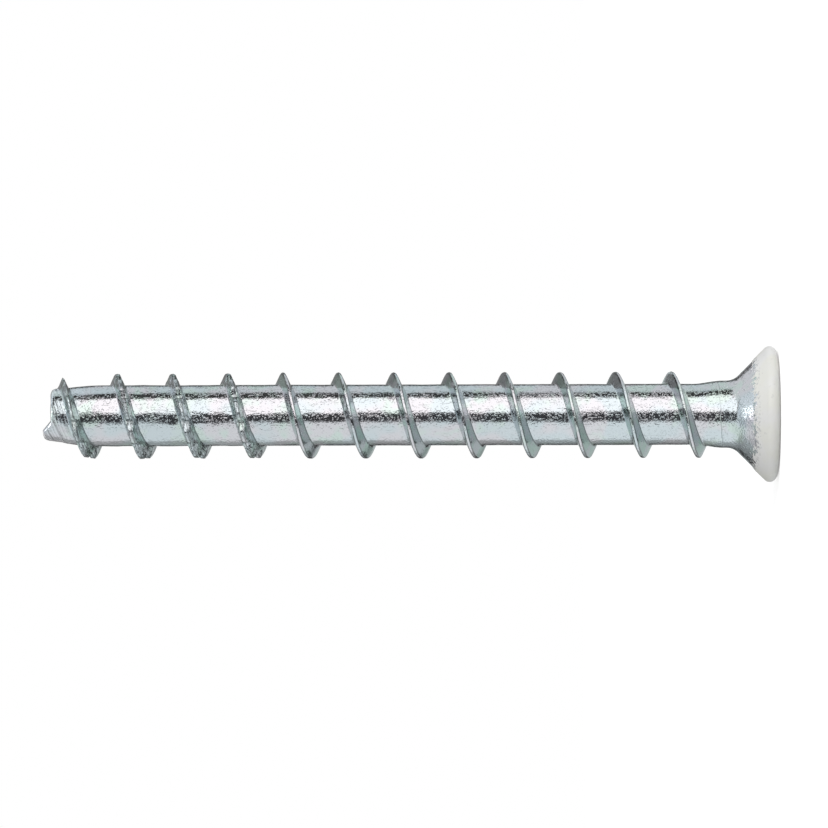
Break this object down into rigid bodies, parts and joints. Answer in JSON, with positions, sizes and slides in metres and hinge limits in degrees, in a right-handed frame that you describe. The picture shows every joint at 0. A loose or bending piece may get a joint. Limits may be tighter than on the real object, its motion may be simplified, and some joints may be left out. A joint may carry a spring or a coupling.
{
  "type": "concrete screw",
  "caption": "Concrete screw with a coarse thread, serrated towards its blunt tip, and a flat countersunk head with a lobed drive recess and a painted top.",
  "frame": {"origin": "middle of the flat head face, which is the surface that the screw stands on", "axes": "+Z along the screw's axis from the head face to the tip; the lip of the sheared tip is on the -X side"},
  "size_m": [0.012, 0.012, 0.065],
  "materials": {
    "plated_steel": "bright blue-passivated zinc plating, with off-white paint on the head face, the rim and the upper half of the cone"
  },
  "bodies": {
    "root": {"concrete_screw": "plated_steel"}
  },
  "joints": []
}
